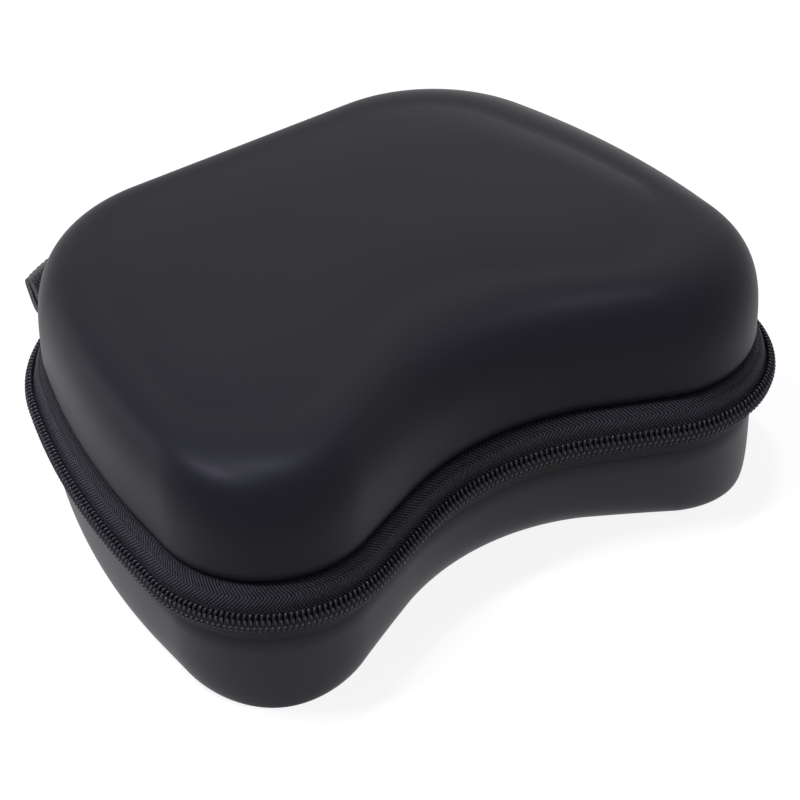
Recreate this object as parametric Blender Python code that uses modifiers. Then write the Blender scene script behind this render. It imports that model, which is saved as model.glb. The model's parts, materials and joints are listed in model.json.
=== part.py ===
"""Hard zip case for a game controller. Its plan follows the gamepad that it holds: a straight back with the
hinge, two lobes in front for the grips, and a notch between them. A zip runs round the parting plane on a
woven band.

Units are metres. X is to the right, Y to the back, Z up. Z = 0 is the underside, and the origin is under the
middle of the case. Points in plan are complex numbers, x + y*1j. Distances s run along the zip line, turning
left from the middle of the back."""

import cmath
import math

import bmesh
import bpy
from mathutils import Vector

# Heights
ZIP_Z = 0.0338            # the zip's middle plane above the underside
LID_RISE = 0.0382         # the lid's flat top above that plane
CROWN = 0.0008            # extra rise towards the middle of the lid
CROWN_SPREAD = 0.70       # share of the way to the lid's middle line that the rise takes
CROWN_LINE = 0.80         # length of that line, as a share of the flat top's
CROWN_BEND = 0.50         # how far the line's ends turn into the lobes
LID_RIM = 0.0080          # the lid shell's lower edge above the zip's middle plane
BASE_RIM = 0.0103         # the base shell's upper edge below it

# Plan of the zip line, right half: each corner of the outline and the radius that rounds it
BACK_X, BACK_Y, BACK_R = 0.0734, 0.0792, 0.0500
SIDE_X, SIDE_Y, SIDE_R = 0.0941, 0.0095, 0.2230
LOBE_X, LOBE_Y, LOBE_R = 0.0940, -0.0864, 0.0350
NOTCH_Y, NOTCH_R = -0.0455, 0.0667

# The lid's flat top, as distances inside the zip line's corners, and its radii
TOP_BACK_IN, TOP_BACK_R = 0.0196, 0.0309
TOP_SIDE_IN, TOP_SIDE_R = 0.0235, 0.2000
TOP_LOBE_X_IN, TOP_LOBE_Y_IN, TOP_LOBE_R = 0.0145, 0.0266, 0.0231
TOP_NOTCH_IN, TOP_NOTCH_R = 0.0377, 0.0427
LID_SQUARENESS = 3.46     # 2 rounds the wall over as an ellipse, more makes it squarer

# The flat underside, in the same way
FOOT_BACK_IN, FOOT_BACK_R = 0.0110, 0.0400
FOOT_SIDE_IN, FOOT_SIDE_R = 0.0125, 0.1200
FOOT_LOBE_X_IN, FOOT_LOBE_Y_IN, FOOT_LOBE_R = 0.0162, 0.0150, 0.0124
FOOT_NOTCH_IN, FOOT_NOTCH_R = 0.0357, 0.0460
BASE_SQUARENESS = 3.51

# Shells
WALL = 0.0040             # foam board with its skin and lining
LID_IN = 0.0056           # lid wall inside the zip line
BASE_IN = 0.0059          # base wall inside the zip line
GAP = 0.0003              # between pieces that lie against each other

# Zip
COIL_RISE = 0.00282       # half the width of the closed chain
COIL_SLOPE = 0.0020       # how far the chain's edges lie inside its middle
COIL_DEPTH = 0.0026       # from the heads to the back of the coil
COIL_PITCH = 0.00145
HEAD_REACH = 0.0006       # half the depth of the zigzag that the heads make
HEAD_GAP = 0.00029        # half the clearance between the two rows, measured upwards
TAPE = 0.0008
TAPE_EDGE = 0.0010        # the tape's woven edge, from the middle plane
LID_TAPE_IN = 0.0048      # where the tape meets the lid's rim, inside the zip line
BASE_TAPE_IN = 0.0050
STOP_LENGTH = 0.0024
STOP_WALL = 0.0007
STOP_IN = 0.0008          # its outer face inside the zip line

# Hinge at the back
HINGE_HALF = 0.0340       # half the length of the fabric hinge
HINGE_BULGE = 0.0012      # its outer face inside the zip line
HINGE_CLEAR = 0.0010      # the hinge axis outside the zip line
HINGE_FABRIC = 0.0010

# Binding ribbon over the raw edges inside
BINDING = 0.0008
BINDING_RISE = 0.0062     # height of the ribbon
BINDING_LAP = 0.0014      # how far it runs past the shell's edge

# Strap loop in the lid's seam, at the back left corner
STRAP_AT = 0.0553         # its middle, along the zip line
STRAP_WIDTH = 0.0200
STRAP = 0.0015
STRAP_REACH = 0.0050      # how far the loop stands outside the zip line
STRAP_RISE = 0.0162       # its fold above the zip's middle plane
STRAP_SAG = 0.0015        # how far its lower side hangs below the seam
STRAP_ROUND = 0.0024      # half the depth of the loop's round part

# Slider, parked on the right side
SLIDER_AT = 0.1190        # its middle, from the middle of the back, clockwise
SLIDER_LENGTH = 0.0095
SLIDER_HALF = 0.0043      # half width at the mouth
SLIDER_NOSE = 0.0050      # half width at the nose
SLIDER_ROUND = 0.0007     # rounding of its two ends
SLIDER_WAIST = -0.0005    # where it begins to widen, from its middle towards the nose
SLIDER_FULL = 0.0017      # where it has its full width
PLATE = 0.0012
LIP_CLEAR = 0.0006        # between the chain's edges and the lips
LIP_IN = 0.0016           # how far the lips reach inside the zip line
BACK_CLEAR = 0.0007       # between the tapes and the back plate
BRIDGE_THICK = 0.0010
BRIDGE_LENGTH = 0.0031
BRIDGE_TAPER = 0.0014     # length of its sharp edge that parts the rows
BRIDGE_SET_BACK = 0.0004  # its end inside the slider's nose
CROWN_HALF = 0.0026       # half the length of the arch that holds the pull
CROWN_WIDTH = 0.0024
CROWN_BAR = 0.0008
CROWN_ROOM = 0.0020       # clear height under the arch
PULL_LENGTH = 0.0240
PULL_WIDTH = 0.0074
PULL = 0.0011
PULL_BAR = 0.0012
PULL_WINDOW = 0.0036
PULL_HOLE = 0.0015        # radius of the hole near its end
PULL_CORNER = 0.0005

# Inside
POCKET_MOUTH = 0.0100     # y of the mesh pocket's open edge
MESH = 0.0008
HEM_WIDTH = 0.0080
HEM = 0.0016
SIDE_CLEAR = 0.0006       # between the walls and the panels that span them
BAND_Y = -0.0250
BAND_WIDTH = 0.0200
BAND = 0.0012

# Fineness
ARC_STEPS = (8, 8, 4, 8, 10, 8, 4)    # faces round each corner of the plan, in the order of the plan
FILLET_SHARE = 0.98       # the most of a side that the fillets at its two ends take together
WALL_RINGS = 7
CROWN_RINGS = 2


def start_scene():
    for obj in list(bpy.data.objects):
        bpy.data.objects.remove(obj, do_unlink=True)
    parts = bpy.data.collections.new("controller_case")
    cutters = bpy.data.collections.new("cutters")
    for collection in (parts, cutters):
        bpy.context.scene.collection.children.link(collection)
    return parts, cutters


def material(name, colour, roughness, metallic=0.0):
    made = bpy.data.materials.new(name)
    made.use_nodes = True
    shader = made.node_tree.nodes["Principled BSDF"]
    shader.inputs["Base Color"].default_value = (*colour, 1.0)
    shader.inputs["Roughness"].default_value = roughness
    shader.inputs["Metallic"].default_value = metallic
    return made


# Outlines in plan

def plan(back_in=0.0, side_in=0.0, lobe_x_in=0.0, lobe_y_in=0.0, notch_in=0.0,
         back_r=BACK_R, side_r=SIDE_R, lobe_r=LOBE_R, notch_r=NOTCH_R):
    """The seven corners of an outline and their radii, counter-clockwise from the back right."""
    back = complex(BACK_X - back_in, BACK_Y - back_in)
    side = complex(SIDE_X - side_in, SIDE_Y)
    lobe = complex(LOBE_X - lobe_x_in, LOBE_Y + lobe_y_in)
    notch = complex(0.0, NOTCH_Y + notch_in)
    left_back, left_side, left_lobe = [-p.conjugate() for p in (back, side, lobe)]
    corners = [back, left_back, left_side, left_lobe, notch, lobe, side]
    return list(zip(corners, [back_r, back_r, side_r, lobe_r, notch_r, lobe_r, side_r]))


def arcs(corners):
    """For each corner the arc that rounds it: centre, start point and swept angle."""
    spots = [corner for corner, _ in corners]
    sides = [after - before for before, after in zip(spots, spots[1:] + spots[:1])]
    halves, runs = [], []
    for i, (_, radius) in enumerate(corners):
        halves.append(abs(cmath.phase(-sides[i - 1] / sides[i])) / 2)
        runs.append(radius / math.tan(halves[i]))
    made = []
    for i, corner in enumerate(spots):
        # A fillet stops short of its neighbour
        room_before = FILLET_SHARE * abs(sides[i - 1]) / (runs[i - 1] + runs[i])
        room_after = FILLET_SHARE * abs(sides[i]) / (runs[i] + runs[(i + 1) % len(spots)])
        run = runs[i] * min(1.0, room_before, room_after)
        before, after = -sides[i - 1] / abs(sides[i - 1]), sides[i] / abs(sides[i])
        start, end = corner + before * run, corner + after * run
        centre = corner + (before + after) / abs(before + after) * run / math.cos(halves[i])
        made.append((centre, start, cmath.phase((end - centre) / (start - centre))))
    return made


def outline(corners, inset=0.0):
    """Points round an outline, moved inwards by inset."""
    points = []
    for (centre, start, sweep), steps in zip(arcs(corners), ARC_STEPS):
        for k in range(steps + 1):
            spoke = (start - centre) * cmath.exp(1j * sweep * k / steps)
            outward = spoke / abs(spoke) * math.copysign(1.0, sweep)
            points.append(centre + spoke - outward * inset)
    return points


ZIP_PLAN = plan()
TOP_PLAN = plan(TOP_BACK_IN, TOP_SIDE_IN, TOP_LOBE_X_IN, TOP_LOBE_Y_IN, TOP_NOTCH_IN,
                TOP_BACK_R, TOP_SIDE_R, TOP_LOBE_R, TOP_NOTCH_R)
FOOT_PLAN = plan(FOOT_BACK_IN, FOOT_SIDE_IN, FOOT_LOBE_X_IN, FOOT_LOBE_Y_IN, FOOT_NOTCH_IN,
                 FOOT_BACK_R, FOOT_SIDE_R, FOOT_LOBE_R, FOOT_NOTCH_R)


def zip_pieces():
    """The zip line as straight and round pieces in order from the middle of the back, with their lengths."""
    rounds = arcs(ZIP_PLAN)
    rounds = rounds[1:] + rounds[:1]
    at = complex(0.0, BACK_Y)
    pieces = []
    for (centre, start, sweep), steps in zip(rounds, ARC_STEPS[1:] + ARC_STEPS[:1]):
        pieces.append(("line", at, start, 0.0, abs(start - at), 1))
        pieces.append(("arc", centre, start, sweep, abs(start - centre) * abs(sweep), steps))
        at = centre + (start - centre) * cmath.exp(1j * sweep)
    pieces.append(("line", at, complex(0.0, BACK_Y), 0.0, abs(at - complex(0.0, BACK_Y)), 1))
    return pieces


PIECES = zip_pieces()
ZIP_LENGTH = sum(piece[4] for piece in PIECES)


def on_zip(s):
    """The point on the zip line at distance s, and the outward direction there."""
    s %= ZIP_LENGTH
    for kind, a, b, sweep, length, _ in PIECES:
        if s <= length:
            break
        s -= length
    if kind == "line":
        along = (b - a) / abs(b - a)
        return a + along * s, -1j * along
    spoke = (b - a) * cmath.exp(1j * sweep * s / length)
    return a + spoke, spoke / abs(spoke) * math.copysign(1.0, sweep)


def stations(first, last):
    """Distances along the zip line from first to last, close enough together to follow its bends."""
    found, at = [first], 0.0
    for _, _, _, _, length, steps in PIECES:
        found += [at + length * k / steps for k in range(steps)]
        at += length
    margin = 0.0005
    inner = sorted(s for s in found[1:] if first + margin < s < last - margin)
    return [first] + inner + [last]


def on_facet(s):
    """As on_zip, but on the flat facets that the lofts round the zip line have."""
    spots = stations(0.0, ZIP_LENGTH)
    after = next(i for i, spot in enumerate(spots) if spot >= s)
    share = (s - spots[after - 1]) / (spots[after] - spots[after - 1])
    (a, outward_a), (b, outward_b) = on_zip(spots[after - 1]), on_zip(spots[after])
    outward = outward_a + (outward_b - outward_a) * share
    return a + (b - a) * share, outward / abs(outward)


# Ways to make a solid

def add_mesh(name, verts, faces, look, smooth=40.0):
    mesh = bpy.data.meshes.new(name)
    mesh.from_pydata([tuple(v) for v in verts], [], faces)
    mesh.materials.append(look)
    obj = bpy.data.objects.new(name, mesh)
    PARTS.objects.link(obj)
    tidy = bmesh.new()
    tidy.from_mesh(mesh)
    bmesh.ops.recalc_face_normals(tidy, faces=tidy.faces)
    tidy.to_mesh(mesh)
    tidy.free()
    mesh.shade_smooth()
    mesh.set_sharp_from_angle(angle=math.radians(smooth))
    return obj


def loft(name, sections, look, ring=False):
    """A solid through closed sections with as many points each, as a ring or with flat ends."""
    size = len(sections[0])
    verts = [point for section in sections for point in section]
    pairs = list(zip(range(len(sections)), range(1, len(sections))))
    if ring:
        pairs.append((len(sections) - 1, 0))
    faces = []
    for a, b in pairs:
        for k in range(size):
            nxt = (k + 1) % size
            faces.append((a * size + k, a * size + nxt, b * size + nxt, b * size + k))
    if not ring:
        faces.append(tuple(range(size)))
        faces.append(tuple((len(sections) - 1) * size + k for k in range(size)))
    return add_mesh(name, verts, faces, look)


def ribbon(line, thickness):
    """The closed section of a strip: line is its middle, as points (outward, up)."""
    line = [complex(*p) for p in line]
    sharpest = 0.5
    left, right = [], []
    for i, p in enumerate(line):
        directions = [line[j + 1] - line[j] for j in (i - 1, i) if 0 <= j < len(line) - 1]
        units = [d / abs(d) for d in directions]
        middle = sum(units) / abs(sum(units))
        stretch = 1 / max(sharpest, (middle * units[0].conjugate()).real)
        side = middle * 1j * thickness / 2 * stretch
        left.append(p + side)
        right.append(p - side)
    return [(p.real, p.imag) for p in left + right[::-1]]


def place(section, s, path=on_zip):
    """Puts a section, as points (outward, up from the zip's middle plane), at distance s on the zip line."""
    point, outward = path(s)
    placed = []
    for out, up in section:
        spot = point + outward * out
        placed.append(Vector((spot.real, spot.imag, ZIP_Z + up)))
    return placed


def along_zip(name, section, first, last, look):
    return loft(name, [place(section, s) for s in stations(first, last)], look)


def round_zip(name, section, look):
    return loft(name, [place(section, s) for s in stations(0.0, ZIP_LENGTH)[:-1]], look, ring=True)


def prism(name, outline_2d, low, high, look, order=(0, 1, 2)):
    """A flat outline pushed from low to high. order gives the axes of its two directions and of the push."""
    ends = []
    for level in (low, high):
        ends.append([Vector() for _ in outline_2d])
        for spot, (a, b) in zip(ends[-1], outline_2d):
            spot[order[0]], spot[order[1]], spot[order[2]] = a, b, level
    return loft(name, ends, look)


def arc_points(centre, radius, first, last, steps):
    """Points of an arc from the angle first to the angle last, in degrees."""
    turns = [math.radians(first + (last - first) * k / steps) for k in range(steps + 1)]
    return [(centre[0] + radius * math.cos(turn), centre[1] + radius * math.sin(turn)) for turn in turns]


def combine(target, pieces, operation):
    """Joins other solids to the target, or cuts it with them."""
    for piece in pieces:
        PARTS.objects.unlink(piece)
        CUTTERS.objects.link(piece)
        piece.parent = target
        piece.hide_render = True
        piece.display_type = "WIRE"
        step = target.modifiers.new(piece.name, "BOOLEAN")
        step.operation = operation
        step.object = piece
    return target


def pivot(name, spot, turn=0.0):
    """An empty on a joint's axis."""
    empty = bpy.data.objects.new(name, None)
    PARTS.objects.link(empty)
    empty.location = spot
    empty.rotation_euler.z = turn
    return empty


def hang(pieces, parent):
    """Parents pieces that were made in the case's own frame, which leaves them where they are."""
    for piece in pieces:
        piece.parent = parent
        piece.location = -parent.location


# Shells

def wall_rings(rim, rim_z, end, end_z, squareness):
    """Rings from a shell's rim, round its shoulder, to its flat end."""
    rings = []
    for k in range(WALL_RINGS + 1):
        turn = math.pi / 2 * k / WALL_RINGS
        inwards = 1 - max(0.0, math.cos(turn)) ** (2 / squareness)
        onwards = math.sin(turn) ** (2 / squareness)
        height = rim_z + (end_z - rim_z) * onwards
        rings.append([(a + (b - a) * inwards, height) for a, b in zip(rim, end)])
    return rings


def crown_rings(end, end_z):
    """Rings that rise over the lid's top, from its edge towards a line along its middle."""
    spine_y = (max(p.imag for p in end) + end[len(end) // 2].imag) / 2
    rings = []
    for k in range(1, CROWN_RINGS + 1):
        share = CROWN_SPREAD * k / CROWN_RINGS
        height = end_z + CROWN * (1 - (1 - k / CROWN_RINGS) ** 2)
        ring = []
        for p in end:
            bend = (p.real / TOP_PLAN[5][0].real) ** 2
            spine = complex(p.real * CROWN_LINE, spine_y * (1 - bend) + p.imag * bend * CROWN_BEND)
            ring.append((p + (spine - p) * share, height))
        rings.append(ring)
    return rings


def shell(name, rings, look):
    """An open surface through the rings, closed by the last one, thickened inwards."""
    size = len(rings[0])
    verts = [Vector((p.real, p.imag, z)) for ring in rings for p, z in ring]
    faces = []
    for a in range(len(rings) - 1):
        for k in range(size):
            nxt = (k + 1) % size
            faces.append((a * size + k, a * size + nxt, (a + 1) * size + nxt, (a + 1) * size + k))
    faces.append(tuple((len(rings) - 1) * size + k for k in range(size)))
    obj = add_mesh(name, verts, faces, look)
    skin = bmesh.new()
    skin.from_mesh(obj.data)
    middle = Vector((0.0, 0.0, ZIP_Z))
    cap = max(skin.faces, key=lambda face: len(face.verts))
    if cap.normal.dot(cap.calc_center_median() - middle) < 0:
        bmesh.ops.reverse_faces(skin, faces=skin.faces)
    skin.to_mesh(obj.data)
    skin.free()
    thick = obj.modifiers.new("thickness", "SOLIDIFY")
    thick.thickness = WALL
    thick.offset = -1.0
    thick.use_even_offset = True
    return obj


def lid_shell(look):
    rim = outline(ZIP_PLAN, LID_IN)
    end = outline(TOP_PLAN)
    top = ZIP_Z + LID_RISE
    rings = wall_rings(rim, ZIP_Z + LID_RIM, end, top, LID_SQUARENESS) + crown_rings(end, top)
    return shell("lid_shell", rings, look)


def base_shell(look):
    rim = outline(ZIP_PLAN, BASE_IN)
    rings = wall_rings(rim, ZIP_Z - BASE_RIM, outline(FOOT_PLAN), 0.0, BASE_SQUARENESS)
    return shell("base_shell", rings, look)


# Zip band

def tape_section(side, rim, rim_in, wall_in):
    """The woven tape from behind the coil to its flange under the shell's rim. side is 1 up, -1 down."""
    behind = COIL_DEPTH + GAP + TAPE / 2
    flange = rim - GAP - TAPE / 2
    line = [(-behind, TAPE_EDGE), (-behind, COIL_RISE), (-rim_in - TAPE / 2, flange),
            (GAP - wall_in - WALL, flange)]
    return ribbon([(out, side * up) for out, up in line], TAPE)


def tape_depth(rim, rim_in, up):
    """How deep inside the zip line the tape's inner face lies at a height above the coil."""
    behind = COIL_DEPTH + GAP + TAPE / 2
    run, rise = rim_in + TAPE / 2 - behind, rim - GAP - TAPE / 2 - COIL_RISE
    return behind + run * (up - COIL_RISE) / rise + TAPE / 2 * math.hypot(run, rise) / rise


def tapes(look):
    first, last = HINGE_HALF + GAP, ZIP_LENGTH - HINGE_HALF - GAP
    upper = along_zip("lid_zip_tape", tape_section(1, LID_RIM, LID_TAPE_IN, LID_IN), first, last, look)
    along_zip("base_zip_tape", tape_section(-1, BASE_RIM, BASE_TAPE_IN, BASE_IN), first, last, look)
    return [upper]


COIL_FIRST = HINGE_HALF + 2 * GAP + STOP_LENGTH
COIL_LAST = ZIP_LENGTH - SLIDER_AT - SLIDER_LENGTH / 2 - 2 * GAP


def coil(name, side, look):
    """Half of the chain: a strip whose heads make a zigzag that meshes with the other half's."""
    teeth = int((COIL_LAST - COIL_FIRST) / COIL_PITCH)
    pitch = (COIL_LAST - COIL_FIRST) / teeth
    root = side * HEAD_GAP + HEAD_REACH
    tip = side * HEAD_GAP - HEAD_REACH
    back_in = COIL_DEPTH
    verts, faces = [], []
    for i in range(teeth + 1):
        s = COIL_FIRST + i * pitch
        verts += place([(0.0, root), (-back_in, root), (-COIL_SLOPE, side * COIL_RISE),
                        (-back_in, side * COIL_RISE)], s)
        if i < teeth:
            verts += place([(0.0, tip), (-back_in, tip)], s + pitch / 2)
    for i in range(teeth):
        head, behind, edge, edge_behind, tip_out, tip_in = range(6 * i, 6 * i + 6)
        head2, behind2, edge2, edge_behind2 = range(6 * i + 6, 6 * i + 10)
        faces += [(edge, head, tip_out, head2, edge2),
                  (edge_behind, edge_behind2, behind2, tip_in, behind),
                  (head, behind, tip_in, tip_out), (tip_out, tip_in, behind2, head2),
                  (edge, edge2, edge_behind2, edge_behind)]
    last = 6 * teeth
    faces += [(0, 2, 3, 1), (last, last + 1, last + 3, last + 2)]
    return add_mesh(name, verts, faces, look, smooth=20.0)


def stop(name, side, first, look):
    """A crimped clamp at the end of the coil, round the tape's edge."""
    behind = -COIL_DEPTH - 2 * GAP - TAPE
    low, edge, high = GAP / 2, TAPE_EDGE - GAP, COIL_RISE
    line = [(-STOP_IN, high), (-STOP_IN, low), (behind - STOP_WALL, low), (behind - STOP_WALL, high),
            (behind, high), (behind, edge), (-COIL_DEPTH, edge), (-COIL_DEPTH, high)]
    section = [(out, side * up) for out, up in line]
    return loft(name, [place(section, s, on_facet) for s in (first, first + STOP_LENGTH)], look)


def stops(look):
    left = HINGE_HALF + GAP
    right = ZIP_LENGTH - SLIDER_AT + SLIDER_LENGTH / 2 + GAP
    upper = []
    for end, first in (("left", left), ("right", right)):
        upper.append(stop("lid_stop_" + end, 1, first, look))
        stop("base_stop_" + end, -1, first, look)
    return upper


def hinge_strip(look):
    """Fabric that joins the two rims at the back and bulges out between them like the tape."""
    half = HINGE_FABRIC / 2
    top, bottom = LID_RIM - GAP - half, -BASE_RIM + GAP + half
    out = -HINGE_BULGE - half
    line = [(GAP - LID_IN - WALL, top), (-LID_TAPE_IN - half, top), (out, COIL_RISE), (out, -COIL_RISE),
            (-BASE_TAPE_IN - half, bottom), (GAP - BASE_IN - WALL, bottom)]
    section = ribbon(line, HINGE_FABRIC)
    return loft("hinge_strip", [place(section, s) for s in (-HINGE_HALF, HINGE_HALF)], look)


def binding(name, side, rim, wall_in, look):
    """Ribbon that covers a shell's raw edge and the tape's, all round the inside."""
    face = wall_in + WALL + GAP
    low, high = rim - BINDING_LAP, rim - BINDING_LAP + BINDING_RISE
    section = [(-face, side * low), (-face - BINDING, side * low),
               (-face - BINDING, side * high), (-face, side * high)]
    return round_zip(name, section, look)


def strap_loop(look):
    """Webbing folded into a loop, its two ends side by side in the lid's seam."""
    root = STRAP / 2 + GAP - LID_IN
    lead = -STRAP - GAP
    lower = LID_RIM + STRAP / 2
    upper = lower + STRAP + GAP
    low, high = LID_RIM - STRAP_SAG, STRAP_RISE - STRAP / 2
    middle = STRAP_REACH - STRAP / 2 - STRAP_ROUND
    bend = [(middle + STRAP_ROUND * out, (low + high) / 2 + (high - low) / 2 * up)
            for out, up in arc_points((0.0, 0.0), 1.0, -70, 130, 6)]
    line = [(root, lower), (2 * lead, lower), (0.0, low)] + bend
    line += [(lead, upper + STRAP), (2 * lead, upper), (root, upper)]
    section = ribbon(line, STRAP)
    steps = 4
    spots = [STRAP_AT + STRAP_WIDTH * (k / steps - 0.5) for k in range(steps + 1)]
    return loft("strap_loop", [place(section, s) for s in spots], look)


# Slider and pull. Their own X points out of the case, Y along the zip to the slider's nose, and Z up.

def slider_track():
    """The slider's way along the side is an arc, so it turns about that arc's centre."""
    point, outward = on_zip(ZIP_LENGTH - SLIDER_AT)
    centre = point - outward * SIDE_R
    return pivot("slider_track", Vector((centre.real, centre.imag, ZIP_Z)), cmath.phase(outward))


def tapered(name, profile, look):
    """A part of the slider that widens from its mouth to its nose and is rounded off at both ends."""
    half = SLIDER_LENGTH / 2
    edge = half - SLIDER_ROUND
    shape = [(-half, SLIDER_HALF - SLIDER_ROUND), (-edge, SLIDER_HALF), (SLIDER_WAIST, SLIDER_HALF),
             (SLIDER_FULL, SLIDER_NOSE), (edge, SLIDER_NOSE), (half, SLIDER_NOSE - SLIDER_ROUND)]
    sections = []
    for along, wide in shape:
        sections.append([Vector((out, along, up * wide / SLIDER_HALF)) for out, up in profile])
    return loft(name, sections, look)


def slider_body(track, look):
    """Front plate with its lips, back plate, the bridge between them and the arch for the pull."""
    lip, room = SLIDER_HALF, COIL_RISE + LIP_CLEAR
    top = GAP + PLATE
    front = [(top, lip), (-LIP_IN, lip), (-LIP_IN, room), (GAP, room), (GAP, -room), (-LIP_IN, -room),
             (-LIP_IN, -lip), (top, -lip)]
    body = tapered("slider_body", front, look)
    body.parent = track
    body.location.x = SIDE_R
    inner = -BACK_CLEAR - max(tape_depth(LID_RIM, LID_TAPE_IN, SLIDER_NOSE),
                              tape_depth(BASE_RIM, BASE_TAPE_IN, SLIDER_NOSE))
    outer = inner - PLATE
    back = [(inner, lip), (outer, lip), (outer, -lip), (inner, -lip)]
    back_plate = tapered("slider back plate", back, look)
    half, tip, bury = BRIDGE_THICK / 2, BRIDGE_THICK / 4, PLATE / 2
    end = SLIDER_LENGTH / 2 - BRIDGE_SET_BACK
    start = end - BRIDGE_LENGTH
    full = start + BRIDGE_TAPER
    wedge = [(start, tip), (full, half), (end, half), (end, -half), (full, -half), (start, -tip)]
    bridge = prism("slider bridge", wedge, inner - bury, GAP + bury, look, order=(1, 2, 0))
    foot, roof = top - bury, top + CROWN_ROOM
    clear = CROWN_HALF - CROWN_BAR
    right = [(foot, CROWN_HALF), (roof, CROWN_HALF), (roof + CROWN_BAR, clear)]
    under = [(foot, -clear), (roof, -clear), (roof, clear), (foot, clear)]
    arch = [(out, -along) for out, along in right] + right[::-1] + under[::-1]
    crown = prism("slider arch", arch, -CROWN_WIDTH / 2, CROWN_WIDTH / 2, look)
    return combine(body, [bridge, back_plate, crown], "UNION")


def slider_pull(body, look):
    """A flat tab with a window for the arch, a bar that turns under the arch and a hole near its end."""
    half, bar = PULL_WIDTH / 2, PULL_BAR / 2
    corner_y, corner_z = bar - PULL_CORNER, half - PULL_CORNER
    end_y = half - PULL_LENGTH
    tab = (arc_points((end_y, 0.0), half, 90, 270, 10)
           + arc_points((corner_y, -corner_z), PULL_CORNER, 270, 360, 3)
           + arc_points((corner_y, corner_z), PULL_CORNER, 0, 90, 3))
    solid = prism("slider_pull", tab, -PULL / 2, PULL / 2, look, order=(1, 2, 0))
    solid.parent = body
    solid.location.x = GAP + PLATE + CROWN_ROOM / 2
    side = CROWN_WIDTH / 2 + 2 * GAP
    near, far = -bar, -bar - PULL_WINDOW
    window = [(near, side), (far, side), (far, -side), (near, -side)]
    hole = arc_points((end_y, 0.0), PULL_HOLE, 0, 337.5, 15)
    cutters = [prism(name, shape, -PULL, PULL, look, order=(1, 2, 0))
               for name, shape in (("pull window", window), ("pull hole", hole))]
    return combine(solid, cutters, "DIFFERENCE")


# Inside

def mesh_pocket(look):
    """A stretched mesh panel across the back half of the lid, its open edge straight."""
    inset = LID_IN + WALL + SIDE_CLEAR
    low = ZIP_Z + LID_RIM - BINDING_LAP + BINDING_RISE + GAP
    points = []
    for s in stations(0.0, ZIP_LENGTH)[:-1]:
        point, outward = on_zip(s)
        points.append(point - outward * inset)
    back = [p for p in points if p.imag > POCKET_MOUTH]
    side = side_x(inset, POCKET_MOUTH)
    left = [p for p in back if p.real <= 0.0]
    right = [p for p in back if p.real > 0.0]
    edge = left + [complex(-side, POCKET_MOUTH), complex(side, POCKET_MOUTH)] + right
    return prism("mesh_pocket", [(p.real, p.imag) for p in edge], low, low + MESH, look)


def side_x(inset, y):
    """Half the width between the walls at y, for a wall that lies inset inside the zip line."""
    right_half = [on_zip(s) for s in stations(ZIP_LENGTH / 2, ZIP_LENGTH)]
    walls = [point - outward * inset for point, outward in right_half]
    crossed = []
    for a, b in zip(walls, walls[1:]):
        if min(a.imag, b.imag) <= y <= max(a.imag, b.imag) and a.imag != b.imag:
            crossed.append(a.real + (b.real - a.real) * (y - a.imag) / (b.imag - a.imag))
    return max(crossed)


def pocket_hem(look):
    """Wide elastic along the pocket's open edge."""
    front = POCKET_MOUTH - GAP - HEM_WIDTH
    inset = LID_IN + WALL + SIDE_CLEAR
    low = ZIP_Z + LID_RIM - BINDING_LAP + BINDING_RISE + GAP
    near, far = side_x(inset, front), side_x(inset, front + HEM_WIDTH)
    shape = [(-near, front), (near, front), (far, front + HEM_WIDTH), (-far, front + HEM_WIDTH)]
    return prism("pocket_hem", shape, low, low + HEM, look)


def holding_band(look):
    """Elastic across the base, its ends sewn to the binding."""
    inset = BASE_IN + WALL + GAP + BINDING + SIDE_CLEAR
    z = ZIP_Z - BASE_RIM + BINDING_LAP - BINDING_RISE / 2
    front, back = BAND_Y - BAND_WIDTH / 2, BAND_Y + BAND_WIDTH / 2
    near, middle, far = side_x(inset, front), side_x(inset, BAND_Y), side_x(inset, back)
    shape = [(-near, front), (near, front), (middle, BAND_Y), (far, back), (-far, back), (-middle, BAND_Y)]
    return prism("holding_band", shape, z - BAND / 2, z + BAND / 2, look)


PARTS, CUTTERS = start_scene()

skin = material("soft black skin", (0.020, 0.020, 0.024), 0.55)
warm_skin = material("soft black skin, base", (0.030, 0.028, 0.030), 0.58)
weave = material("black woven tape", (0.016, 0.016, 0.018), 0.85)
nylon = material("black nylon coil", (0.012, 0.012, 0.013), 0.35)
webbing = material("black webbing", (0.020, 0.020, 0.020), 0.90)
ribbon_cloth = material("black binding ribbon", (0.014, 0.014, 0.015), 0.80)
elastic = material("black elastic", (0.018, 0.018, 0.018), 0.85)
net = material("black mesh cloth", (0.022, 0.022, 0.024), 0.80)
zinc = material("black plated zinc", (0.060, 0.060, 0.065), 0.30, 1.0)

base_shell(warm_skin)
coil("base_zip_coil", -1, nylon)
hinge_strip(weave)
binding("base_binding", -1, BASE_RIM, BASE_IN, ribbon_cloth)
holding_band(elastic)

lid_pieces = [lid_shell(skin), coil("lid_zip_coil", 1, nylon), *tapes(weave), *stops(zinc),
              binding("lid_binding", 1, LID_RIM, LID_IN, ribbon_cloth),
              strap_loop(webbing), mesh_pocket(net), pocket_hem(elastic)]
hang(lid_pieces, pivot("lid_hinge", Vector((0.0, BACK_Y + HINGE_CLEAR, ZIP_Z))))

slider_pull(slider_body(slider_track(), zinc), zinc)
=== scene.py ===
"""Looks of the hard zip case for a game controller: moulded shells in soft black film, woven zip tapes, a wound
nylon coil, webbing, net and elastic. The solids behind it stay as they are, and each piece here but the hinge
cloth rides on one of its bodies.

Units are metres, in the case's own frame. Points in plan are complex numbers, x + y*1j. Distances s run along
the zip line, turning left from the middle of the back. A section across the zip is made of points
(outward from the zip line, up from the zip's middle plane)."""

import json
import math

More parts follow.
